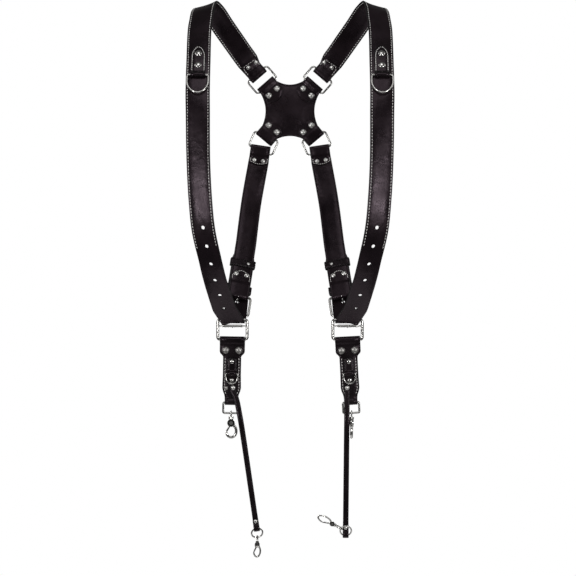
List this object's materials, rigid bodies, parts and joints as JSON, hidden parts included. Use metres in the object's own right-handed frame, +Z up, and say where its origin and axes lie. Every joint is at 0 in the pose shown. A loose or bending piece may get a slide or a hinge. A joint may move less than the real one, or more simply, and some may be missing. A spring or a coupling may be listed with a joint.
{
  "type": "dual camera harness",
  "caption": "Leather shoulder harness with a back plate, adjustable straps, hip tabs with swivel snap hooks and thin safety tethers.",
  "frame": {"origin": "midway between the two shoulder saddles, level with the underside of the straps there", "axes": "+Z up, +Y towards the wearer's back, +X to the side of the tether whose hook is turned inwards"},
  "size_m": [0.3272, 0.2082, 0.8965],
  "materials": {
    "leather": "smooth black leather, slightly brown, with stitched edges",
    "trim_leather": "smooth black leather for keepers, patches and tethers",
    "nickel": "polished nickel plate",
    "dark_metal": "dark silver rivet caps"
  },
  "bodies": {
    "harness": {"back_plate": "leather", "right_shoulder_strap": "leather", "right_upper_ring": "nickel", "right_lower_ring": "nickel", "right_back_strap": "leather", "right_buckle_frame": "nickel", "right_buckle_tongue": "nickel", "right_fixed_keeper": "trim_leather", "right_sliding_keeper": "trim_leather", "right_chest_patch": "trim_leather", "right_slider_ring": "nickel", "right_drop_tab": "leather", "right_drop_patch": "trim_leather", "right_drop_link": "nickel", "right_hook_swivel": "nickel", "right_tether_strap": "trim_leather", "right_tether_ring": "nickel", "right_clasp_swivel": "nickel", "right_upper_plate_rivet_1": "nickel", "right_upper_plate_rivet_2": "nickel", "right_lower_plate_rivet_1": "nickel", "right_lower_plate_rivet_2": "nickel", "right_tab_rivet_1": "dark_metal", "right_tab_rivet_2": "dark_metal", "left_shoulder_strap": "leather", "left_upper_ring": "nickel", "left_lower_ring": "nickel", "left_back_strap": "leather", "left_buckle_frame": "nickel", "left_buckle_tongue": "nickel", "left_fixed_keeper": "trim_leather", "left_sliding_keeper": "trim_leather", "left_chest_patch": "trim_leather", "left_slider_ring": "nickel", "left_drop_tab": "leather", "left_drop_patch": "trim_leather", "left_drop_link": "nickel", "left_hook_swivel": "nickel", "left_tether_strap": "trim_leather", "left_tether_ring": "nickel", "left_clasp_swivel": "nickel", "left_upper_plate_rivet_1": "nickel", "left_upper_plate_rivet_2": "nickel", "left_lower_plate_rivet_1": "nickel", "left_lower_plate_rivet_2": "nickel", "left_tab_rivet_1": "dark_metal", "left_tab_rivet_2": "dark_metal"},
    "right_chest_ring": {"right_chest_d_ring": "nickel"},
    "right_drop_ring": {"right_drop_d_ring": "nickel"},
    "right_drop_hook": {"right_snap_hook": "nickel"},
    "right_hook_gate": {"right_snap_gate": "nickel"},
    "right_tether_hook": {"right_tether_clasp": "nickel"},
    "right_tether_gate": {"right_clasp_gate": "nickel"},
    "left_chest_ring": {"left_chest_d_ring": "nickel"},
    "left_drop_ring": {"left_drop_d_ring": "nickel"},
    "left_drop_hook": {"left_snap_hook": "nickel"},
    "left_hook_gate": {"left_snap_gate": "nickel"},
    "left_tether_hook": {"left_tether_clasp": "nickel"},
    "left_tether_gate": {"left_clasp_gate": "nickel"}
  },
  "joints": [
    {"name": "right_chest_ring_hinge", "type": "hinge", "parent": "harness", "child": "right_chest_ring", "pos_m": [0.14403, -0.08822, -0.12732], "axis": [-1, -0.0008, -0.0027], "range_deg": [0, 160]},
    {"name": "right_drop_ring_hinge", "type": "hinge", "parent": "harness", "child": "right_drop_ring", "pos_m": [0.09692, -0.0108, -0.59992], "axis": [-0.9986, 0, -0.0523], "range_deg": [0, 150]},
    {"name": "right_hook_swivel_turn", "type": "hinge", "parent": "harness", "child": "right_drop_hook", "pos_m": [0.10031, -0.005, -0.66463], "axis": [0, 0, 1], "continuous": true},
    {"name": "right_hook_gate_hinge", "type": "hinge", "parent": "right_drop_hook", "child": "right_hook_gate", "pos_m": [0.10031, -0.005, -0.68045], "axis": [-1, 0, 0], "range_deg": [0, 22], "stiffness_Nm_per_rad": 0.02, "springref_deg": -8.59},
    {"name": "right_clasp_swivel_turn", "type": "hinge", "parent": "harness", "child": "right_tether_hook", "pos_m": [0.08263, -0.02238, -0.84939], "axis": [0.8612, 0.171, -0.4787], "continuous": true},
    {"name": "right_clasp_gate_hinge", "type": "hinge", "parent": "right_tether_hook", "child": "right_tether_gate", "pos_m": [0.06799, -0.02529, -0.84126], "axis": [-0.1495, 0.9853, 0.0831], "range_deg": [0, 14], "stiffness_Nm_per_rad": 0.01, "springref_deg": -8.59},
    {"name": "left_chest_ring_hinge", "type": "hinge", "parent": "harness", "child": "left_chest_ring", "pos_m": [-0.14403, -0.08822, -0.12732], "axis": [-1, 0.0008, 0.0027], "range_deg": [0, 160]},
    {"name": "left_drop_ring_hinge", "type": "hinge", "parent": "harness", "child": "left_drop_ring", "pos_m": [-0.09497, -0.0108, -0.59999], "axis": [-0.9998, 0, 0.0174], "range_deg": [0, 150]},
    {"name": "left_hook_swivel_turn", "type": "hinge", "parent": "harness", "child": "left_drop_hook", "pos_m": [-0.0961, -0.005, -0.66478], "axis": [0, 0, 1], "continuous": true},
    {"name": "left_hook_gate_hinge", "type": "hinge", "parent": "left_drop_hook", "child": "left_hook_gate", "pos_m": [-0.0961, -0.005, -0.6806], "axis": [0, -1, 0], "range_deg": [0, 22], "stiffness_Nm_per_rad": 0.02, "springref_deg": -8.59},
    {"name": "left_clasp_swivel_turn", "type": "hinge", "parent": "harness", "child": "left_tether_hook", "pos_m": [-0.05239, -0.03125, -0.862], "axis": [0, 0.848, 0.5299], "continuous": true},
    {"name": "left_clasp_gate_hinge", "type": "hinge", "parent": "left_tether_hook", "child": "left_tether_gate", "pos_m": [-0.05239, -0.04567, -0.87101], "axis": [0, -0.5299, 0.848], "range_deg": [0, 14], "stiffness_Nm_per_rad": 0.01, "springref_deg": -8.59}
  ]
}
